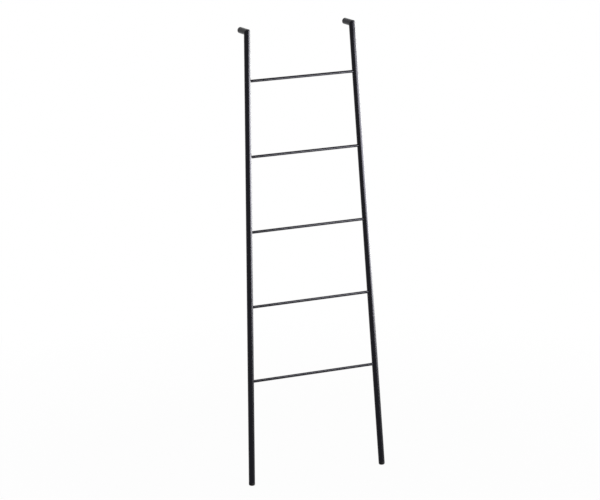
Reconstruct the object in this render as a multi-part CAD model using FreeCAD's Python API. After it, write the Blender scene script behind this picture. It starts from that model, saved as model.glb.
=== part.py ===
import FreeCAD, Part
import math
import os

# Leaning ladder for hanging blankets, in steel tube with a black coat.
# Two legs splay towards the floor and carry five round rungs.  At the top of each leg a short
# arm of the same tube, mitred to it, reaches back to the wall.  Rubber plugs close the ends:
# rounded feet on the floor and flat caps on the wall.  The ladder is drawn leaning as it is
# used: +Z up, +X to the right as seen from the room, +Y to the wall.  The origin is on the
# floor, at the middle of the ladder's footprint.  Lengths are in millimetres, angles in degrees.
# Heights are measured along the lean, from the floor.

Vector = FreeCAD.Vector

# overall
leg_length = 1600.0        # floor to top of the corner
foot_spacing = 518.0       # between leg axes at the floor
top_spacing = 406.0        # between leg axes at the top
arm_reach = 53.0           # leg axis to wall, at the corner
lean = 4.0                 # of the legs from upright

# tube of the legs and arms
tube_diameter = 22.0
tube_wall = 1.5
corner_radius = 3.5        # ground on the outside of the welded corner

# rungs, solid round bar
rung_count = 5
rung_diameter = 10.0
rung_pitch = 262.5
top_rung_drop = 180.0      # top of the corner to the top rung's axis
rung_chamfer = 0.6
socket_clearance = 0.1     # round the rung in the leg's inner wall
end_clearance = 0.08       # between the rung's end and the leg's outer wall

# countersunk screws that hold the rungs
screw_diameter = 4.0
screw_length = 16.0        # over the head
head_diameter = 7.5
head_rim = 0.25            # straight edge above the cone
head_clearance = 0.05      # round the head in its countersink
hex_key = 2.5              # across flats
hex_depth = 1.4
thread_clearance = 0.03    # round the screw in its tapped hole
tapped_spare = 3.0         # depth of the tapped hole past the screw's tip

# rubber feet
foot_height = 10.0         # showing below the tube
foot_round = 6.0           # radius of the rounded edge
foot_flat = 0.4            # how far the floor flattens the foot, along the leg's axis

# rubber wall caps
cap_thickness = 5.0        # showing past the tube
cap_bevel = 0.8            # on the edge of the cap's face

# ribbed stems that hold feet and caps in the tubes
stem_length = 20.0
stem_core_diameter = 15.0
stem_rib_count = 3
stem_rib_width = 1.5
stem_clearance = 0.05      # between a rib's edge and the tube's bore

# Every round face has a seam along it, where it closes.  A hole is cut more surely where its
# own seam and the tube's are well apart.  These turn them, and change no shape.
tube_seam = 45.0
turned_seam = 30.0

tube_r = tube_diameter / 2
bore_r = tube_r - tube_wall
rung_r = rung_diameter / 2
screw_r = screw_diameter / 2
head_r = head_diameter / 2

# Distances out along a rung's axis, from where it crosses a leg's axis.
# A flat-ended rung stops where its rim meets the leg's bore, and a screw's head is sunk until
# its rim is level with the round tube beside it.
rung_end = math.sqrt(bore_r ** 2 - rung_r ** 2) - end_clearance
head_top = math.sqrt(tube_r ** 2 - head_r ** 2)
cone_top = head_top - head_rim
cone_bottom = cone_top - (head_r - screw_r)
screw_tip = head_top - screw_length
tapped_bottom = screw_tip - tapped_spare

wallward = Vector(0, 1, 0)


def leaned(point):
    """Turn a point of the upright ladder back by the lean."""
    return FreeCAD.Rotation(Vector(1, 0, 0), -lean).multVec(point)


def spacing_at(height):
    """Distance between the leg axes."""
    return foot_spacing + (top_spacing - foot_spacing) * height / leg_length


def leg_point(side, height):
    """Point on a leg's axis; side is -1 for the left leg and 1 for the right."""
    return leaned(Vector(side * spacing_at(height) / 2, 0, height))


def leg_direction(side):
    """Unit vector up a leg's axis."""
    return (leg_point(side, leg_length) - leg_point(side, 0)).normalize()


def rung_point(side, number):
    """Where a rung's axis crosses a leg's axis; rung 1 is the lowest."""
    return leg_point(side, leg_length - top_rung_drop - (rung_count - number) * rung_pitch)


def outward(side):
    """Unit vector out of the ladder along a rung."""
    return Vector(side, 0, 0)


def placed(shape, base, direction):
    """Stand a shape that was built up the Z axis on base, along direction."""
    stand = FreeCAD.Placement(base, FreeCAD.Rotation(Vector(0, 0, 1), direction))
    shape.Placement = stand.multiply(shape.Placement)
    return shape


def turned(outline, base, direction):
    """Solid turned from an outline of edges drawn in X and Z round the Z axis."""
    solid = Part.Face(Part.Wire(outline)).revolve(Vector(), Vector(0, 0, 1), 360)
    solid.rotate(Vector(), Vector(0, 0, 1), turned_seam)
    return placed(solid, base, direction)


def lines(points):
    """Edges through (radius, distance) points."""
    return Part.makePolygon([Vector(radius, 0, distance) for radius, distance in points]).Edges


def closed(points):
    """Closed outline through (radius, distance) points."""
    return lines(points + points[:1])


def tube(base, direction, length):
    """Round tube of the legs and arms."""
    shape = Part.makeCylinder(tube_r, length).cut(Part.makeCylinder(bore_r, length))
    shape.rotate(Vector(), Vector(0, 0, 1), tube_seam)
    return placed(shape, base, direction)


def past_plane(point, direction):
    """Block over everything near a corner that lies past a plane."""
    size = 6 * tube_r
    return Part.makeCylinder(size, size, point, direction)


class Corner:
    """Where a leg's axis meets the axis of its arm, tube_r below the ladder's top."""

    def __init__(self, side):
        self.point = leg_point(side, leg_length - tube_r)
        self.up = leg_direction(side)
        self.mitre = (self.up + wallward).normalize()

    def ground_off(self):
        """What is ground off the outside of the corner to round it."""
        lean_in = self.up.dot(wallward)
        front = (self.up * lean_in - wallward).normalize()
        above = (self.up - wallward * lean_in).normalize()
        outside = (self.up - wallward).normalize()
        across = self.up.cross(wallward).normalize()
        # The round's axis is as far from the leg's axis as from the arm's.
        from_point = (tube_r - corner_radius) / math.sqrt((1 + lean_in) / 2)
        middle = self.point + outside * from_point - across * tube_r
        reach = 3 * corner_radius
        wedge = Part.makePolygon([
            middle,
            middle + front * reach,
            middle + outside * (2 * reach),
            middle + above * reach,
            middle,
        ])
        block = Part.Face(wedge).extrude(across * tube_diameter)
        return block.cut(Part.makeCylinder(corner_radius, tube_diameter, middle, across))


def screw_hole(side, number, radius, start):
    """Cutter for a screw's hole and countersink, from start out along the rung's axis."""
    mouth_r = head_r + head_clearance
    return turned(closed([
        (0, start),
        (radius, start),
        (radius, cone_bottom),
        (mouth_r, cone_top),
        (mouth_r, tube_diameter),
        (0, tube_diameter),
    ]), rung_point(side, number), outward(side))


def socket(side, number):
    """Cutter for the rung's hole in a leg's inner wall."""
    radius = rung_r + socket_clearance
    return Part.makeCylinder(radius, tube_diameter, rung_point(side, number), outward(-side))


def leg(side):
    """Leg tube, mitred at the top, with a socket and a countersunk hole for each rung."""
    corner = Corner(side)
    bottom = leg_point(side, 0) + corner.up * foot_height
    shape = tube(bottom, corner.up, leg_length)
    shape = shape.cut(past_plane(corner.point, corner.mitre))
    shape = shape.cut(corner.ground_off())
    for number in range(1, rung_count + 1):
        shape = shape.cut(socket(side, number))
        shape = shape.cut(screw_hole(side, number, screw_r + head_clearance, 0))
    return shape


def arm(side):
    """Arm tube from the mitre to its wall cap."""
    corner = Corner(side)
    start = corner.point - wallward * tube_diameter
    shape = tube(start, wallward, tube_diameter + arm_reach - cap_thickness)
    shape = shape.cut(past_plane(corner.point, corner.mitre * -1))
    return shape.cut(corner.ground_off())


def rung(number):
    """Round bar with chamfered ends and a tapped hole in each."""
    start = rung_point(-1, number) + outward(-1) * rung_end
    length = (rung_point(1, number) + outward(1) * rung_end - start).Length
    bar = turned(closed([
        (0, 0),
        (rung_r - rung_chamfer, 0),
        (rung_r, rung_chamfer),
        (rung_r, length - rung_chamfer),
        (rung_r - rung_chamfer, length),
        (0, length),
    ]), start, outward(1))
    for side in (-1, 1):
        bar = bar.cut(screw_hole(side, number, screw_r + thread_clearance, tapped_bottom))
    return bar


def rung_screw(side, number):
    """Countersunk screw with a hexagon socket."""
    shape = turned(closed([
        (0, screw_tip),
        (screw_r, screw_tip),
        (screw_r, cone_bottom),
        (head_r, cone_top),
        (head_r, head_top),
        (0, head_top),
    ]), rung_point(side, number), outward(side))
    corner_r = hex_key / 2 / math.cos(math.pi / 6)
    turns = [math.radians(60 * i) for i in range(7)]
    hexagon = [Vector(corner_r * math.cos(a), corner_r * math.sin(a), 0) for a in turns]
    key_hole = Part.Face(Part.makePolygon(hexagon)).extrude(Vector(0, 0, 2 * hex_depth))
    floor = rung_point(side, number) + outward(side) * (head_top - hex_depth)
    return shape.cut(placed(key_hole, floor, outward(side)))


def stem_points(start):
    """Points of a ribbed stem that begins at a distance from a plug's outer face."""
    core_r = stem_core_diameter / 2
    rib_r = bore_r - stem_clearance
    pitch = stem_length / (stem_rib_count + 0.5)
    points = [(core_r, start)]
    for rib in range(stem_rib_count):
        near = start + (rib + 0.5) * pitch
        far = near + stem_rib_width
        points += [(core_r, near), (rib_r, near), (rib_r, far), (core_r, far)]
    return points + [(core_r, start + stem_length), (0, start + stem_length)]


def foot(side):
    """Rounded rubber foot with its stem, flattened where it stands on the floor."""
    base = leg_point(side, 0)
    lowest = -foot_flat
    inner_r = tube_r - foot_round
    slant = foot_round * math.cos(math.pi / 4)
    edge = Part.Arc(
        Vector(inner_r, 0, lowest),
        Vector(inner_r + slant, 0, lowest + foot_round - slant),
        Vector(tube_r, 0, lowest + foot_round),
    ).toShape()
    rest = [(tube_r, lowest + foot_round), (tube_r, foot_height)]
    rest += stem_points(foot_height) + [(0, lowest), (inner_r, lowest)]
    shape = turned([edge] + lines(rest), base, leg_direction(side))
    size = 4 * tube_r
    floor = Part.makeBox(size, size, size, base - Vector(size / 2, size / 2, size))
    return shape.cut(floor)


def wall_cap(side):
    """Rubber cap with its stem; its flat face is against the wall."""
    face = [(0, 0), (tube_r - cap_bevel, 0), (tube_r, cap_bevel), (tube_r, cap_thickness)]
    base = Corner(side).point + wallward * arm_reach
    return turned(closed(face + stem_points(cap_thickness)), base, wallward * -1)


def pieces():
    """Every piece of the ladder by name."""
    made = {}
    for side, name in ((-1, "left"), (1, "right")):
        made["leg_" + name] = leg(side)
        made["arm_" + name] = arm(side)
        made["foot_" + name] = foot(side)
        made["wall_cap_" + name] = wall_cap(side)
        for number in range(1, rung_count + 1):
            made[f"rung_screw_{name}_{number}"] = rung_screw(side, number)
    for number in range(1, rung_count + 1):
        made[f"rung_{number}"] = rung(number)
    return made


os.makedirs("parts", exist_ok=True)
ladder = pieces()
footprint = Part.makeCompound(list(ladder.values())).optimalBoundingBox()
for name, shape in ladder.items():
    shape.translate(Vector(0, -footprint.Center.y, 0))
    shape.exportStep(f"parts/{name}.step")
    print(name, len(shape.Solids), shape.isValid(), round(shape.Volume, 1))
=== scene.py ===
import math

import bmesh
import bpy
import numpy as np
from mathutils import Matrix, Vector


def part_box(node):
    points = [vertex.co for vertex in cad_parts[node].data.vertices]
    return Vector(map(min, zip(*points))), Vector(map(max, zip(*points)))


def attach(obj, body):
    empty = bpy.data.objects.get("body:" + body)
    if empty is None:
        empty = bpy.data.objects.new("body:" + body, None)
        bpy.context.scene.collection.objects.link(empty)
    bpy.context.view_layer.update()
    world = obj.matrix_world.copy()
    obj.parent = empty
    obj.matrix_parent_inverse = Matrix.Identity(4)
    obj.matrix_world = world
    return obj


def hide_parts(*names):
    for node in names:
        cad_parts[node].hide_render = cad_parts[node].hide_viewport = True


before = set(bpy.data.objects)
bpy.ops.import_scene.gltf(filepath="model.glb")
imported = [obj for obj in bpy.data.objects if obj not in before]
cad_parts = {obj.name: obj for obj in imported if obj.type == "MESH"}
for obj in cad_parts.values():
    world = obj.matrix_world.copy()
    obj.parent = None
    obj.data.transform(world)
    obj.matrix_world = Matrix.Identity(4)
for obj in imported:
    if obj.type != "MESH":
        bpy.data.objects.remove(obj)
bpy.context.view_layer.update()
print("frame:", len(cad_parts), "nodes")

# A blanket ladder of black coated steel, with rubber feet and wall caps. It leans back to the wall
# at +Y, and +X is to the right as seen from the room. Lengths are in metres, angles in the
# dictionaries in degrees.
sides = {"left": -1, "right": 1}
rightward = np.array([1.0, 0, 0])
wallward = np.array([0, 1.0, 0])
samePoint = 2e-6                 # two points this near are one


def unit(vector):
    return vector / np.linalg.norm(vector)


# A straight line to build along: its start, its direction, and two directions square to it,
# the first of them as near as can be to facing.
def makeAxis(start, along, facing):
    along = unit(along)
    first = unit(facing - along * (facing @ along))
    return {"start": start, "along": along, "first": first, "second": np.cross(along, first)}


# Surface round an axis, for arrays of angle, height and radius that fit one grid. Each point is
# the start, plus the height times along, plus the radius times the sum of the angle's cosine
# times first and its sine times second.
def roundAxis(axis, angle, height, radius):
    angle, height, radius = np.broadcast_arrays(angle, height, radius)
    ring = np.cos(angle)[..., None] * axis["first"] + np.sin(angle)[..., None] * axis["second"]
    return axis["start"] + height[..., None] * axis["along"] + radius[..., None] * ring


# Angles of a ring of points: each point's number times a full turn, over the count.
def anglesRound(count):
    return np.arange(count) * 2 * np.pi / count


# Quads between the neighbours of a grid of points, whose columns close into a ring. They face
# along columns x rows, or the other way where inward.
def ringGrid(points, inward=False):
    rows, columns = points.shape[:2]
    index = np.arange(rows * columns).reshape(rows, columns)
    index = np.hstack([index, index[:, :1]])
    quads = np.stack([index[:-1, :-1], index[:-1, 1:], index[1:, 1:], index[1:, :-1]], -1)
    quads = quads.reshape(-1, 4)
    return points.reshape(-1, 3), quads[:, ::-1] if inward else quads


# One object from several grids, closed where their edges meet.
def makePiece(name, grids, material, nodes=(), sharpAngle=35):
    starts = np.cumsum([0] + [len(grid[0]) for grid in grids[:-1]])
    points = np.concatenate([grid[0] for grid in grids])
    quads = np.concatenate([grid[1] + start for start, grid in zip(starts, grids)])
    mesh = bpy.data.meshes.new(name)
    mesh.from_pydata(points.tolist(), [], quads.tolist())
    closing = bmesh.new()
    closing.from_mesh(mesh)
    bmesh.ops.remove_doubles(closing, verts=closing.verts, dist=samePoint)
    closing.to_mesh(mesh)
    closing.free()
    mesh.shade_smooth()
    mesh.set_sharp_from_angle(angle=math.radians(sharpAngle))
    mesh.materials.append(material)
    piece = bpy.data.objects.new(name, mesh)
    bpy.context.scene.collection.objects.link(piece)
    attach(piece, "root")
    if nodes:
        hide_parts(*nodes)
    return piece


# The skin of a tube is shaded by its true normals, which its faces only come near: each is the
# point's offset square to the axis, over the offset's length. The tube's eased end on the mitre is
# one ring, whose normals lie in the mitre's plane, square to the ring: the step from the point
# before to the point after, crossed with mitre, and turned to the side of the offset. A zero
# leaves Blender's own normal.
def useTrueNormals(piece, axis, endRing, mitre):
    points = np.empty(len(piece.data.vertices) * 3)
    piece.data.vertices.foreach_get("co", points)
    points = points.reshape(-1, 3)
    offset = points - axis["start"]
    offset = offset - (offset @ axis["along"])[:, None] * axis["along"]
    distance = np.linalg.norm(offset, axis=1)
    onSkin = np.abs(distance - tubeRadius) < samePoint
    normals = np.where(onSkin, 1 / np.maximum(distance, samePoint), 0)[:, None] * offset
    onRing = np.cross(np.roll(endRing, -1, 0) - np.roll(endRing, 1, 0), mitre)
    onRing = onRing / np.linalg.norm(onRing, axis=1)[:, None]
    away = np.linalg.norm(points[:, None] - endRing[None], axis=2)
    nearest = np.argmin(away, axis=0)
    outward = np.sign((onRing * offset[nearest]).sum(1))[:, None]
    normals[nearest] = onRing * outward
    piece.data.normals_split_custom_set_from_vertices(normals.tolist())


# Rounded turn of an outline in (radius, height): the centre plus the radius times the cosine and
# the sine of each angle.
def arc(centre, radius, startAngle, endAngle, count=6):
    turn = np.radians(np.linspace(startAngle, endAngle, count))
    return np.stack([centre[0] + radius * np.cos(turn), centre[1] + radius * np.sin(turn)], -1)


# An outline's (radius, height) points carried round the axis. A solid's outline starts and ends
# on the axis, and runs with the solid on its left.
def turned(axis, outline, count):
    outline = np.concatenate([np.atleast_2d(part) for part in outline])
    return roundAxis(axis, anglesRound(count)[None, :], outline[:, 1:], outline[:, :1])


# Short hand for one node tree.
class Nodes:
    def __init__(self, tree):
        self.tree = tree

    def add(self, kind, **settings):
        node = self.tree.nodes.new(kind)
        for key, value in settings.items():
            setattr(node, key, value)
        return node

    def link(self, out, into):
        self.tree.links.new(out, into)

    def math(self, operation, first, second):
        node = self.add("ShaderNodeMath", operation=operation)
        self.link(first, node.inputs[0])
        self.link(second, node.inputs[1])
        return node.outputs[0]

    # carries a value from one range, a pair of its ends, to another
    def ramp(self, value, fromEnds, toEnds):
        node = self.add("ShaderNodeMapRange")
        self.link(value, node.inputs["Value"])
        for key, number in zip(("From Min", "From Max", "To Min", "To Max"), (*fromEnds, *toEnds)):
            node.inputs[key].default_value = number
        return node.outputs["Result"]


# A new material, with patterns that stay on the object.
class Finish(Nodes):
    def __init__(self, name):
        self.material = bpy.data.materials.new(name)
        self.material.use_nodes = True
        super().__init__(self.material.node_tree)
        self.shader = self.tree.nodes["Principled BSDF"]
        self.place = self.add("ShaderNodeTexCoord").outputs["Object"]

    def keep(self, key, value):
        self.shader.inputs[key].default_value = value

    def feed(self, key, out):
        self.link(out, self.shader.inputs[key])

    def noise(self, scale, detail, roughness=0.5):
        node = self.add("ShaderNodeTexNoise")
        node.inputs["Scale"].default_value = scale
        node.inputs["Detail"].default_value = detail
        node.inputs["Roughness"].default_value = roughness
        self.link(self.place, node.inputs["Vector"])
        return node.outputs["Fac"]

    def blend(self, factor, first, second):
        node = self.add("ShaderNodeMix", data_type="RGBA")
        self.link(factor, node.inputs["Factor"])
        node.inputs["A"].default_value = (*first, 1)
        node.inputs["B"].default_value = (*second, 1)
        return node.outputs["Result"]

    def bump(self, height, distance, under=None):
        node = self.add("ShaderNodeBump")
        node.inputs["Distance"].default_value = distance
        node.inputs["Strength"].default_value = 1
        self.link(height, node.inputs["Height"])
        if under:
            self.link(under, node.inputs["Normal"])
        return node.outputs["Normal"]


mostNoise = (0.3, 0.7)           # most of a noise's values lie between these

# Each noise has its scale in waves per metre, and how many finer layers it adds as its detail.
coatFinish = {
    "blackest": (0.0020, 0.0020, 0.0032),
    "palest": (0.0038, 0.0038, 0.0058),
    "specular": 0.145,
    "tint": (0.88, 0.87, 1.0),   # blue-black, seen in its gloss
    "roughness": (0.21, 0.27),
    "colourNoise": {"scale": 9, "detail": 3},
    "glossNoise": {"scale": 34, "detail": 4},
    "peelNoise": {"scale": 620, "detail": 1},       # the powder's orange peel
    "peelHeight": 0.000008,
    "grainNoise": {"scale": 3600, "detail": 1},
    "grainHeight": 0.0000012,
}

def makeCoat(finish):
    coat = Finish("blackPowderCoat")
    coat.keep("Specular IOR Level", finish["specular"])
    coat.keep("Specular Tint", (*finish["tint"], 1))
    drift = coat.noise(**finish["colourNoise"])
    coat.feed("Base Color", coat.blend(drift, finish["blackest"], finish["palest"]))
    gloss = coat.noise(**finish["glossNoise"])
    coat.feed("Roughness", coat.ramp(gloss, mostNoise, finish["roughness"]))
    peel = coat.bump(coat.noise(**finish["peelNoise"]), finish["peelHeight"])
    grain = coat.bump(coat.noise(**finish["grainNoise"]), finish["grainHeight"], under=peel)
    coat.feed("Normal", grain)
    return coat.material


rubberFinish = {
    "black": (0.0055, 0.0055, 0.006),
    "scuffed": (0.035, 0.034, 0.033),
    "specular": 0.13,
    "roughness": (0.62, 0.8),
    "glossNoise": {"scale": 90, "detail": 3},
    "grainNoise": {"scale": 1500, "detail": 3},
    "grainHeight": 0.00002,
    "scuffHeight": 0.004,        # of the floor's dust on the feet
    "scuffNoise": {"scale": 420, "detail": 4, "roughness": 0.6},
    "scuffEnds": (0.45, 0.75),   # where a scuff starts in its noise, and where it is full
}

def makeRubber(finish):
    rubber = Finish("blackRubber")
    rubber.keep("Specular IOR Level", finish["specular"])
    apart = rubber.add("ShaderNodeSeparateXYZ")
    rubber.link(rubber.place, apart.inputs[0])
    low = rubber.ramp(apart.outputs["Z"], (finish["scuffHeight"], 0), (0, 1))
    patches = rubber.ramp(rubber.noise(**finish["scuffNoise"]), finish["scuffEnds"], (0, 1))
    scuffs = rubber.math("MULTIPLY", low, patches)
    rubber.feed("Base Color", rubber.blend(scuffs, finish["black"], finish["scuffed"]))
    gloss = rubber.noise(**finish["glossNoise"])
    rubber.feed("Roughness", rubber.ramp(gloss, mostNoise, finish["roughness"]))
    rubber.feed("Normal", rubber.bump(rubber.noise(**finish["grainNoise"]), finish["grainHeight"]))
    return rubber.material


screwFinish = {
    "dark": (0.012, 0.012, 0.014),
    "light": (0.03, 0.03, 0.033),
    "metallic": 0.85,
    "roughness": (0.3, 0.45),
    "colourNoise": {"scale": 900, "detail": 3},
    "glossNoise": {"scale": 1500, "detail": 2},
    "grainNoise": {"scale": 5000, "detail": 1},
    "grainHeight": 0.000004,
}

def makeScrewBlack(finish):
    steel = Finish("blackenedSteel")
    steel.keep("Metallic", finish["metallic"])
    mottle = steel.noise(**finish["colourNoise"])
    steel.feed("Base Color", steel.blend(mottle, finish["dark"], finish["light"]))
    gloss = steel.noise(**finish["glossNoise"])
    steel.feed("Roughness", steel.ramp(gloss, mostNoise, finish["roughness"]))
    steel.feed("Normal", steel.bump(steel.noise(**finish["grainNoise"]), finish["grainHeight"]))
    return steel.material


coat = makeCoat(coatFinish)
rubber = makeRubber(rubberFinish)
screwBlack = makeScrewBlack(screwFinish)
print("materials: coat, rubber, screws")

# The lines and radii that the pieces share come from the frame's boxes.
tubing = {
    "wall": 0.0015,
    "deburr": 0.0003,            # round on the sawn ends
    "footHeight": 0.010,         # of rubber below a leg, along the leg
    "capThickness": 0.005,       # of rubber past an arm
    "segments": 96,
    "rows": 9,                   # along a plain stretch
}
fixing = {
    "rungGap": 0.00008,          # from a rung's end to the leg's outer wall
    "socketGap": 0.0001,         # round a rung in the leg
    "headGap": 0.00005,          # round a screw's head in the leg
    "edgeRound": 0.00022,        # how the coat rolls over the edge of a hole
}

def boxOf(node):
    low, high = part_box(node)
    return np.array(low), np.array(high)


armLow, armHigh = boxOf("arm_left")
tubeRadius = (armHigh - armLow)[0] / 2
boreRadius = tubeRadius - tubing["wall"]
rungCount = sum(name.startswith("rung_") and name[5:].isdigit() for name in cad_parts)
rungNumbers = range(1, rungCount + 1)
rungLow, rungHigh = boxOf("rung_1")
rungRadius = (rungHigh - rungLow)[2] / 2
rungReach = math.sqrt(boreRadius ** 2 - rungRadius ** 2) - fixing["rungGap"]    # past the leg's axis


# Where a rung's axis crosses a leg's: its end, less what reaches past the leg's axis.
def crossingOf(side, number):
    low, high = boxOf(f"rung_{number}")
    centre = (low + high) / 2
    centre[0] = side * ((high - low)[0] / 2 - rungReach)
    return centre


# A leg's axis runs through its lowest and highest crossing, from the floor.
def legAxisOf(side):
    lowest, highest = crossingOf(side, 1), crossingOf(side, rungCount)
    along = unit(highest - lowest)
    onFloor = lowest - along * lowest[2] / along[2]
    return makeAxis(onFloor, along, side * rightward)


# The corner is where the leg's axis is level with the middle of the wall cap.
def cornerOf(side, name):
    axis = legAxisOf(side)
    low, high = boxOf("wall_cap_" + name)
    height = ((low + high) / 2)[2] / axis["along"][2]
    point = axis["start"] + axis["along"] * height
    return {"point": point, "up": axis["along"], "mitre": unit(axis["along"] + wallward)}


# Height along an axis at which the line at each angle meets the mitre plane: how far the corner is
# from the line's foot, measured square to the plane, over how much along is square to the plane.
def mitreHeight(axis, corner, angle, radius):
    foot = roundAxis(axis, angle, 0, radius)
    return (corner["point"] - foot) @ corner["mitre"] / (axis["along"] @ corner["mitre"])


# How far from the mitre its ground round starts, where facingOf gives 1 (outside) and 0 (side).
cornerShape = {
    "outside": 0.0033,
    "side": 0.0007,
    "roundFrom": 0.1,            # where facingOf gives this, it begins to widen
    "rows": 12,
}

# Where a point of the mitre's rim lies, from 0.93 outside the corner through 0 at its sides to -0.93
# inside it: how far it is from the corner along outside, times 1 less up's part along wallward,
# over the length of outside and over the tube's radius.
def facingOf(rim, corner):
    outside = corner["up"] - wallward
    long = np.linalg.norm(outside) / (1 - corner["up"] @ wallward) * tubeRadius
    return np.clip((rim - corner["point"]) @ unit(outside) / long, -1, 1)


# Soft step from 0 at low to 1 at high: three times the share's square, less twice its cube.
def smoothStep(value, low, high):
    share = np.clip((value - low) / (high - low), 0, 1)
    return share * share * (3 - 2 * share)


# A curve that bends towards its control: (1 - share) squared times the start, plus twice the share
# times (1 - share) times the control, plus the share squared times the end.
def bent(start, control, end, share):
    share = share[:, None, None]
    return (1 - share) ** 2 * start + 2 * share * (1 - share) * control + share ** 2 * end


# The last of a tube's skin, eased over the mitre: the first half of a curve from a point on this
# tube to one on the other, bent towards the rim, both a reach away from it.
def easedEnd(rim, corner, own, other):
    facing = facingOf(rim, corner)
    outer = smoothStep(facing, cornerShape["roundFrom"], 1)
    reach = cornerShape["side"] * np.clip(1 + facing, 0, 1)
    reach = reach + (cornerShape["outside"] - cornerShape["side"]) * outer
    onOwn = rim + own * reach[..., None]
    onOther = rim + other * reach[..., None]
    return reach, bent(onOwn, rim, onOther, np.linspace(0, 0.5, cornerShape["rows"]))


# The last stretch of a tube, from a height along its axis to the mitre: straight rows, then the
# eased end outside, and plain rows to the mitre inside. own points back along the tube, and other
# along the tube it meets.
def mitredEnd(axis, corner, angle, start, own, other):
    grids = []
    ends = []
    back = np.sign(own @ axis["along"])
    for radius, inward in ((tubeRadius, False), (boreRadius, True)):
        mitre = mitreHeight(axis, corner, angle, radius)
        rim = roundAxis(axis, angle, mitre, radius)
        reach, near = easedEnd(rim, corner, own, other) if not inward else (0, rim)
        share = np.linspace(0, 1, tubing["rows"])[:-1, None]
        rise = start + share * (mitre + back * reach - start)
        points = np.concatenate([roundAxis(axis, angle, rise, radius), near])
        ends.append(points[-1])
        grids.append(ringGrid(points, inward=inward == (back < 0)))
    grids.append(ringGrid(np.array(ends), inward=back > 0))
    return grids, ends[0]


legShape = {
    "bandHeight": 0.016,         # half the height of the ring of skin that holds a rung's holes
    "bandRows": 12,
    "bandSteps": 20,             # up the side of a band
    "bandGather": 1.4,           # how much its rows gather at a hole; 1 is evenly
    "rimRows": 4,                # over the edge of a hole
    "coneTries": 8,              # at where a countersink's cone meets the bore
    "bottomRows": 12,
}
headShape = {
    "radius": 0.00375,
    "rim": 0.00025,              # straight edge over the cone
    "shank": 0.002,
}
headTop = math.sqrt(tubeRadius ** 2 - headShape["radius"] ** 2)     # out from the leg's axis
coneTop = headTop - headShape["rim"]
coneBottom = coneTop - (headShape["radius"] - headShape["shank"])


# Border of the patch of skin round a hole, anticlockwise as seen from outside: its angle round the
# leg, in equal steps from a quarter turn to less a quarter and back, and its rise over the rung's
# axis, from the bottom of the band to its top and back. Only one of the two changes at a time.
def bandBorder():
    quarter = np.pi / 2
    band, steps = legShape["bandHeight"], legShape["bandSteps"]
    across = np.linspace(quarter, -quarter, tubing["segments"] // 2 + 1)
    upDown = np.linspace(-band, band, steps + 1)
    ends = len(across) - 1
    angle = [np.full(steps, quarter), across[:-1], np.full(steps, -quarter), across[::-1][:-1]]
    rise = [upDown[:-1], np.full(ends, band), upDown[::-1][:-1], np.full(ends, -band)]
    return np.concatenate(angle), np.concatenate(rise)


# Half of the tube's wall round one rung, with a hole in it: the screw's where facing is 1, and the
# rung's socket where it is -1. It is one grid, from its border on the outer skin to the hole's rim,
# in through the wall and out again to the border on the bore.
def bandGrid(axis, crossing, side, facing):
    height = (crossing - axis["start"]) @ axis["along"]
    borderAngle, borderRise = bandBorder()
    out = facing * side * rightward
    lift = unit(axis["along"] - out * (axis["along"] @ out))
    turn = np.arctan2(borderRise, borderAngle * tubeRadius)
    spoke = np.cos(turn)[:, None] * np.cross(lift, out) + np.sin(turn)[:, None] * lift
    outFlat = out - axis["along"] * (out @ axis["along"])

    # A hole's ring where it meets the tube's skin: each spoke's end goes out along the hole until
    # it is the skin's radius from the leg's axis, which is the larger root of a quadratic.
    def ringOn(radius, skinRadius):
        base = crossing - axis["start"] + spoke * np.reshape(radius, (-1, 1))
        flat = base - (base @ axis["along"])[:, None] * axis["along"]
        half = flat @ outFlat
        size = outFlat @ outFlat
        root = np.sqrt(half ** 2 - size * ((flat ** 2).sum(1) - skinRadius ** 2))
        distance = (root - half) / size
        return base + distance[:, None] * out, distance

    # Rows of skin between a ring and the border: the angle and the rise both go from the ring's
    # to the border's, by the same share.
    def skin(ring, skinRadius):
        ringHeight = ring @ axis["along"]
        ringAngle = np.arctan2(ring @ axis["second"] * facing, ring @ axis["first"] * facing)
        share = np.linspace(0, 1, legShape["bandRows"])[:, None] ** legShape["bandGather"]
        angle = ringAngle + share * (borderAngle - ringAngle)
        rise = ringHeight + share * (height + borderRise - ringHeight)
        return roundAxis(axis, angle + (0 if facing > 0 else np.pi), rise, skinRadius)

    if facing > 0:
        hole = headShape["radius"] + fixing["headGap"]
        # The countersink runs straight in to its cone, and down the cone until that meets the
        # bore, which a few tries find: a ring's depth gives its radius, and so its next depth.
        coneRim = crossing - axis["start"] + spoke * hole + out * coneTop
        radius = np.full(len(turn), hole)
        for attempt in range(legShape["coneTries"]):
            coneEnd, depth = ringOn(radius, boreRadius)
            radius = np.maximum(depth - coneTop + hole, headShape["shank"])
        wall = [coneRim, coneEnd]
    else:
        hole = rungRadius + fixing["socketGap"]
        wall = [ringOn(hole, boreRadius)[0]]

    # the coat rolls over the hole's edge, by a quarter turn
    edge = fixing["edgeRound"]
    rolled = []
    for bend in np.radians(np.linspace(0, 90, legShape["rimRows"])):
        past, under = edge * (1 - math.sin(bend)), edge * (1 - math.cos(bend))
        rolled.append(ringOn(hole + past, tubeRadius - under)[0])
    outer = skin(rolled[0], tubeRadius)[::-1]
    inner = skin(wall[-1], boreRadius)
    middle = np.array(rolled[1:] + wall[:-1]) + axis["start"]
    return ringGrid(np.concatenate([outer, middle, inner]))


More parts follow.
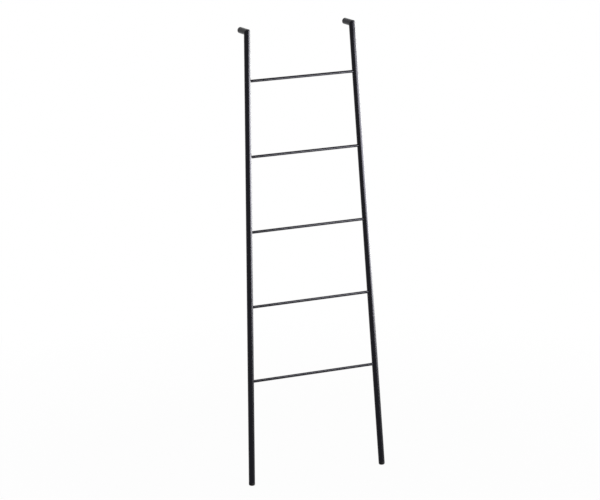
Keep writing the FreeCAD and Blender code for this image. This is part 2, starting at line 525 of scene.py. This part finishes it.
# A leg is the tube's two radii round its axis: a band at each rung, plain stretches between them,
# a deburred bottom and a mitred top.
def makeLeg(name, side):
    axis, corner = legAxisOf(side), cornerOf(side, name)
    angle = anglesRound(tubing["segments"])[None, :]
    crossings = [crossingOf(side, number) for number in rungNumbers]
    heights = [(point - axis["start"]) @ axis["along"] for point in crossings]
    band = legShape["bandHeight"]
    grids = [bandGrid(axis, point, side, facing) for point in crossings for facing in (1, -1)]

    for lower, upper in zip(heights[:-1], heights[1:]):
        rise = np.linspace(lower + band, upper - band, tubing["rows"])[:, None]
        grids.append(ringGrid(roundAxis(axis, angle, rise, tubeRadius)))
        grids.append(ringGrid(roundAxis(axis, angle, rise, boreRadius), inward=True))

    # bottom: in from the bore, over the deburred edge and up to the first band
    low, deburr = tubing["footHeight"], tubing["deburr"]
    edge = arc((tubeRadius - deburr, low + deburr), deburr, -90, 0)
    rise = np.linspace(low + deburr, heights[0] - band, legShape["bottomRows"])[1:]
    skin = np.stack([np.full(len(rise), tubeRadius), rise], -1)
    grids.append(ringGrid(turned(axis, [(boreRadius, low), edge, skin], tubing["segments"])))
    rise = np.linspace(low, heights[0] - band, legShape["bottomRows"])[:, None]
    grids.append(ringGrid(roundAxis(axis, angle, rise, boreRadius), inward=True))

    mitred, endRing = mitredEnd(axis, corner, angle, heights[-1] + band, -corner["up"], wallward)
    piece = makePiece("legTube_" + name, grids + mitred, coat, ["leg_" + name])
    useTrueNormals(piece, axis, endRing, corner["mitre"])


# An arm is the same tube, from the mitre to a deburred end at the wall cap.
def makeArm(name, side):
    corner = cornerOf(side, name)
    axis = makeAxis(corner["point"], wallward, side * rightward)
    angle = anglesRound(tubing["segments"])[None, :]
    wall = boxOf("wall_cap_" + name)[1][1]
    end = wall - tubing["capThickness"] - corner["point"][1]
    middle = end / 2
    deburr = tubing["deburr"]
    grids, endRing = mitredEnd(axis, corner, angle, middle, wallward, -corner["up"])
    edge = arc((tubeRadius - deburr, end - deburr), deburr, 0, 90)
    outline = [(tubeRadius, middle), edge, (boreRadius, end)]
    grids.append(ringGrid(turned(axis, outline, tubing["segments"])))
    rise = np.array([[middle], [end]])
    grids.append(ringGrid(roundAxis(axis, angle, rise, boreRadius), inward=True))
    piece = makePiece("armTube_" + name, grids, coat, ["arm_" + name])
    useTrueNormals(piece, axis, endRing, corner["mitre"])


# Sizes of the bead where facingOf gives -1 (inside the corner), 0 (its sides) and 1 (outside, where
# it is ground away). reach is along each tube, crown is how far it stands out, sink is how far it
# is ground in, and root is how far it goes into the metal.
weldShape = {
    "inside": {"reach": 0.0026, "crown": 0.00030, "sink": 0.0, "root": 0.0010},
    "side": {"reach": 0.0017, "crown": 0.00022, "sink": 0.00004, "root": 0.0008},
    "outside": {"reach": 0.0003, "crown": 0.0001, "sink": 0.0017, "root": 0.0002},
    "insideGather": 1.5,         # how much the inside's sizes keep to the inside; 1 is evenly
    "groundFrom": 0.1,           # what facingOf gives where the grinding starts, and is full
    "groundTo": 0.6,
    "ripples": 78,
    "rippleHeight": 0.00005,
    "sweep": 0.8,                # how far a ripple's ends trail its middle, in ripples
    "steps": 624,
    "faceRows": 15,
}

# Bead along the mitre. At each angle its face is a curve from a point on the leg, a reach below the
# rim, to one on the arm, a reach past it, bent out to twice the crown. Its back is such a curve,
# bent in to twice the root. The ripples add their height times the hump times the cosine of their
# number times the angle plus their sweep times the hump, less what is ground away. The hump is 1
# less the square of the way from the face's middle to its edge.
def makeWeld(name, side):
    axis, corner = legAxisOf(side), cornerOf(side, name)
    shape = weldShape
    angle = anglesRound(shape["steps"])
    rim = roundAxis(axis, angle, mitreHeight(axis, corner, angle, tubeRadius), tubeRadius)
    ring = roundAxis(axis, angle, 0, 1) - axis["start"]
    out = ring - (ring @ corner["mitre"])[:, None] * corner["mitre"]
    out = out / np.linalg.norm(out, axis=1)[:, None]
    facing = facingOf(rim, corner)
    ground = smoothStep(facing, shape["groundFrom"], shape["groundTo"])
    inside = np.clip(-facing, 0, 1) ** shape["insideGather"]

    # one of the bead's sizes at every angle: from the side's to the inside's, then to the outside's
    def along(key):
        value = shape["side"][key] + inside * (shape["inside"][key] - shape["side"][key])
        return (value + ground * (shape["outside"][key] - value))[:, None]

    middle = rim - out * along("sink")
    onLeg = middle - corner["up"] * along("reach")
    onArm = middle + wallward * along("reach")
    crown = middle + out * 2 * along("crown")
    root = middle - out * 2 * along("root")
    share = np.linspace(0, 1, shape["faceRows"])
    hump = (1 - (2 * share - 1) ** 2)[:, None]
    wave = np.cos(shape["ripples"] * angle[None, :] + 2 * np.pi * shape["sweep"] * hump)
    ripple = shape["rippleHeight"] * hump * (1 - ground)[None, :] * wave
    face = bent(onLeg, crown, onArm, share) + ripple[..., None] * out
    back = bent(onArm, root, onLeg, share[1:-1][::2])
    points = np.concatenate([face, back, face[:1]])
    makePiece("cornerWeld_" + name, [ringGrid(points)], coat, sharpAngle=80)


# The part of a rubber plug that sits in a tube.
stemShape = {
    "lip": 0.0003,               # round under the tube's end
    "lipRows": 4,
    "length": 0.020,
    "core": 0.0075,
    "rib": 0.00945,
    "ribs": 3,
    "ribWidth": 0.0015,
    "ease": 0.0002,              # round on the ribs' edges
    "easeRows": 3,
    "segments": 96,
}

# Outline of a plug from its lip at the tube's end, up its ribbed stem, to the stem's end on the axis.
def stemOutline(start):
    pitch = stemShape["length"] / (stemShape["ribs"] + 0.5)
    lip, ease, core, rib = (stemShape[key] for key in ("lip", "ease", "core", "rib"))
    rows = stemShape["easeRows"]
    parts = [arc((tubeRadius - lip, start - lip), lip, 0, 90, stemShape["lipRows"]), (core, start)]
    for number in range(stemShape["ribs"]):
        low = start + (number + 0.5) * pitch
        high = low + stemShape["ribWidth"]
        parts += [(core, low), arc((rib - ease, low + ease), ease, -90, 0, rows)]
        parts += [arc((rib - ease, high - ease), ease, 0, 90, rows), (core, high)]
    end = start + stemShape["length"]
    return parts + [arc((core - ease, end - ease), ease, 0, 90, rows), (0, end)]


# Ring grooves in a flat face at a height, as an outline that runs outwards.
def grooves(shape, height):
    points = []
    width, bottom = shape["grooveWidth"], height + shape["grooveDepth"]
    for radius in shape["grooves"]:
        points += [(radius - width, height), (radius - width / 2, bottom)]
        points += [(radius + width / 2, bottom), (radius + width, height)]
    return points


footShape = {
    "lowest": -0.0004,           # before the floor flattens it
    "round": 0.006,
    "roundRows": 20,
    "grooves": (0.0016, 0.0032), # radii of the rings in the sole
    "grooveDepth": 0.0012,
    "grooveWidth": 0.0004,
    "squash": 0.00006,           # how softly the dome turns into the flat it stands on
}

# Rubber foot: a domed outline carried round the leg's axis, and flat where it stands. There a
# point's height is the greater of itself and 0, with a soft turn: half the sum of the height and
# the root of its square plus the squash squared.
def makeFoot(name, side):
    low, big = footShape["lowest"], footShape["round"]
    dome = arc((tubeRadius - big, low + big), big, -90, 0, footShape["roundRows"])
    outline = [(0, low)] + grooves(footShape, low) + [dome] + stemOutline(tubing["footHeight"])
    points = turned(legAxisOf(side), outline, stemShape["segments"])
    height = points[..., 2]
    points[..., 2] = (height + np.sqrt(height ** 2 + footShape["squash"] ** 2)) / 2
    makePiece("rubberFoot_" + name, [ringGrid(points)], rubber, ["foot_" + name])


capShape = {
    "edge": 0.0008,
    "edgeRows": 8,
    "dish": 0.0005,              # hollow in the face, inside a ring that bears on the wall
    "dishRadius": 0.0068,
    "dishSlope": 0.001,          # how wide its edge is
    "dishRows": 7,
    "grooves": (0.0082,),
    "grooveDepth": 0.0004,
    "grooveWidth": 0.0004,
}

# Rubber wall cap: an outline carried round the middle of its face. The dish comes up to the face
# by a soft step: 1, less three times the share's square, plus twice its cube.
def makeWallCap(name, side):
    low, high = boxOf("wall_cap_" + name)
    centre = (low + high) / 2
    face = np.array([centre[0], high[1], centre[2]])
    axis = makeAxis(face, -wallward, side * rightward)
    edge, slope = capShape["edge"], capShape["dishSlope"]
    share = np.linspace(0, 1, capShape["dishRows"])
    hollow = capShape["dish"] * (1 - share ** 2 * (3 - 2 * share))
    dish = np.stack([capShape["dishRadius"] - slope + slope * share, hollow], -1)
    bevel = arc((tubeRadius - edge, edge), edge, -90, 0, capShape["edgeRows"])
    outline = [(0, capShape["dish"]), dish] + grooves(capShape, 0) + [bevel]
    points = turned(axis, outline + stemOutline(tubing["capThickness"]), stemShape["segments"])
    makePiece("rubberCap_" + name, [ringGrid(points)], rubber, ["wall_cap_" + name])


screwShape = {
    "length": 0.016,
    "tipLead": 0.0004,           # cone at the tip
    "rimRound": 0.00008,
    "rimRows": 4,
    "coneEdge": 0.0001,          # last row of the cone, below its rim
    "hexAcross": 0.0025,
    "hexDepth": 0.0014,
    "hexLead": 0.00006,          # of the cone that leads the key in, past the hexagon's corners
    "hexFloor": 0.82,            # share of the hexagon at which its floor turns into the drill's cone
    "drillDepth": 0.00045,
    "threadPitch": 0.0007,
    "threadDepth": 0.0003,
    "threadRows": 8,             # rows per turn of the thread
    "segments": 48,
}

# Countersunk screw: rings round its axis, from the tip up the thread and over the head, then down
# into the socket. The thread is a triangle wave of the height over the pitch, less the angle over
# a full turn. The socket's radius is half the hexagon's width over the cosine of the angle from
# the nearest flat, and the cone at its mouth meets the hexagon as deep as it is wider there.
def makeScrew(name, side, number):
    shape = screwShape
    axis = makeAxis(crossingOf(side, number), side * rightward, wallward)
    angle = anglesRound(shape["segments"])[None, :]

    def ring(height, radius):
        return roundAxis(axis, angle, height, radius).reshape(-1, shape["segments"], 3)

    pitch, lead, shank = shape["threadPitch"], shape["tipLead"], headShape["shank"]
    tip = headTop - shape["length"]
    turns = (coneBottom - tip - lead) / pitch
    rise = np.linspace(tip + lead, coneBottom, int(turns * shape["threadRows"]))[:, None]
    wave = np.abs((rise / pitch - angle / (2 * np.pi)) % 1 * 2 - 1)
    runOut = np.clip((coneBottom - rise) / (2 * pitch), 0, 1)
    head, ease, below = headShape["radius"], shape["rimRound"], shape["coneEdge"]
    rim = np.concatenate([
        [[head - below, coneTop - below], [head, coneTop]],
        arc((head - ease, headTop - ease), ease, 0, 90, shape["rimRows"]),
    ])
    hexagon = shape["hexAcross"] / 2 / np.cos(angle % (np.pi / 3) - np.pi / 6)
    mouth = shape["hexAcross"] / 2 / math.cos(math.pi / 6) + shape["hexLead"]
    floor = headTop - shape["hexDepth"]
    points = np.concatenate([
        ring(tip, 0),
        ring(tip, shank - lead),
        ring(rise, shank - shape["threadDepth"] * wave * runOut),
        ring(rim[:, 1:], rim[:, :1]),
        ring(headTop, mouth),
        ring(headTop - (mouth - hexagon), hexagon),
        ring(floor, hexagon),
        ring(floor, hexagon * shape["hexFloor"]),
        ring(floor - shape["drillDepth"], 0),
    ])
    screw, node = f"countersunkScrew_{name}_{number}", f"rung_screw_{name}_{number}"
    makePiece(screw, [ringGrid(points)], screwBlack, [node])


for name, side in sides.items():
    makeLeg(name, side)
    makeArm(name, side)
    makeWeld(name, side)
    makeFoot(name, side)
    makeWallCap(name, side)
    for number in rungNumbers:
        makeScrew(name, side, number)
    print(name, "side: leg, arm, weld, foot, cap and", rungCount, "screws")

# the rungs keep their CAD shape
for number in rungNumbers:
    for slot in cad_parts[f"rung_{number}"].material_slots:
        slot.material = coat
print("rungs:", rungCount, "coated")


# 1 where a ray comes from the camera, or has met gloss or glass, and 0 otherwise.
def seenDirectly(nodes):
    ray = nodes.add("ShaderNodeLightPath").outputs
    straight = nodes.math("MAXIMUM", ray["Is Camera Ray"], ray["Is Glossy Ray"])
    return nodes.math("MAXIMUM", straight, ray["Is Transmission Ray"])


floorShape = {
    "reach": 45,
    "gap": 0.00005,              # below the feet, so that no two faces share a plane
    "colour": (0.82, 0.82, 0.82),
    "ownWhite": 0.955,           # share of plain white near the ladder, the rest takes its shadow
    "white": (0.8, 2.2),         # distances at which it starts to whiten, and is all white
}

# Square floor that takes the ladder's shadow near it, and looks plain white further away.
def makeFloor(shape):
    mesh = bpy.data.meshes.new("studioFloor")
    square = np.array([(-1, -1, 0), (1, -1, 0), (1, 1, 0), (-1, 1, 0)]) * shape["reach"]
    square[:, 2] = -shape["gap"]
    mesh.from_pydata(square.tolist(), [], [(0, 1, 2, 3)])
    floor = bpy.data.objects.new("studioFloor", mesh)
    bpy.context.scene.collection.objects.link(floor)
    pale = Finish("paleFloor")
    pale.keep("Base Color", (*shape["colour"], 1))
    pale.keep("Roughness", 1)
    pale.keep("Specular IOR Level", 0)
    distance = pale.add("ShaderNodeVectorMath", operation="LENGTH")
    pale.link(pale.place, distance.inputs[0])
    away = pale.ramp(distance.outputs["Value"], shape["white"], (shape["ownWhite"], 1))
    mixed = pale.add("ShaderNodeMixShader")
    pale.link(pale.math("MULTIPLY", away, seenDirectly(pale)), mixed.inputs[0])
    pale.link(pale.shader.outputs[0], mixed.inputs[1])
    pale.link(pale.add("ShaderNodeEmission").outputs[0], mixed.inputs[2])
    pale.link(mixed.outputs[0], pale.tree.nodes["Material Output"].inputs["Surface"])
    mesh.materials.append(pale.material)


worldShape = {
    "fill": 0.65,                # how strongly it lights the colours; what is seen of it is white
}

def makeWorld(shape):
    world = bpy.data.worlds.new("studioWhite")
    bpy.context.scene.world = world
    world.use_nodes = True
    nodes = Nodes(world.node_tree)
    back = nodes.tree.nodes["Background"]
    back.inputs["Color"].default_value = (1, 1, 1, 1)
    nodes.link(nodes.ramp(seenDirectly(nodes), (0, 1), (shape["fill"], 1)), back.inputs["Strength"])


# Soft boxes. turn is how far round the ladder a box stands from the camera, to the right, and glow
# is its brightness. The key box lights the colours at a plain level, and the other two are seen
# only in the gloss, as the bright bands down the right side of each tube.
softBoxes = {
    "keyBox": {
        "turn": 40,
        "distance": 4.5,
        "low": 1.2,
        "high": 4.2,
        "width": 4.5,
        "glow": 2.2,
        "inGloss": False,
    },
    "sideBox": {
        "turn": 100,
        "distance": 3.0,
        "low": 0.05,
        "high": 1.3,
        "width": 5.5,
        "glow": 24,
        "inGloss": True,
    },
    "nearBox": {
        "turn": 61,
        "distance": 0.98,
        "low": 0.85,
        "high": 1.5,
        "width": 0.6,
        "glow": 20,
        "inGloss": True,
    },
}

def makeSoftBox(name, box, towardCamera):
    light = bpy.data.lights.new(name, "AREA")
    light.shape = "RECTANGLE"
    light.size, light.size_y = box["width"], box["high"] - box["low"]
    light.energy = box["glow"] * math.pi * light.size * light.size_y
    out = Matrix.Rotation(math.radians(box["turn"]), 4, "Z") @ towardCamera
    place = out * box["distance"]
    place.z = (box["low"] + box["high"]) / 2
    holder = bpy.data.objects.new(name, light)
    holder.matrix_world = Matrix.Translation(place) @ out.to_track_quat("Z", "Y").to_matrix().to_4x4()
    holder.visible_camera = False
    holder.visible_diffuse = not box["inGloss"]
    holder.visible_glossy = box["inGloss"]
    bpy.context.scene.collection.objects.link(holder)


# fitted to the photograph
cameraView = {
    "place": (-4.6542, -9.1052, 3.2345),
    "turn": 26.955,              # to the right of straight at the wall
    "dip": 13.377,
    "roll": -0.452,
    "lens": 180,                 # mm
    "sensor": 36,                # mm wide
    "farthest": 120,
}

def makeCamera(view):
    data = bpy.data.cameras.new("photoCamera")
    data.lens = view["lens"]
    data.sensor_width = view["sensor"]
    data.clip_end = view["farthest"]
    look = Matrix.Rotation(math.radians(-view["turn"]), 4, "Z")
    look = look @ Matrix.Rotation(math.radians(90 - view["dip"]), 4, "X")
    look = look @ Matrix.Rotation(math.radians(view["roll"]), 4, "Z")
    camera = bpy.data.objects.new("photoCamera", data)
    camera.matrix_world = Matrix.Translation(view["place"]) @ look
    bpy.context.scene.collection.objects.link(camera)
    bpy.context.scene.camera = camera


makeFloor(floorShape)
makeCamera(cameraView)
makeWorld(worldShape)
towardCamera = Vector((cameraView["place"][0], cameraView["place"][1], 0)).normalized()
for name, box in softBoxes.items():
    makeSoftBox(name, box, towardCamera)
bpy.context.scene.view_settings.view_transform = "Standard"
print("stage: floor, world, camera and", len(softBoxes), "soft boxes")
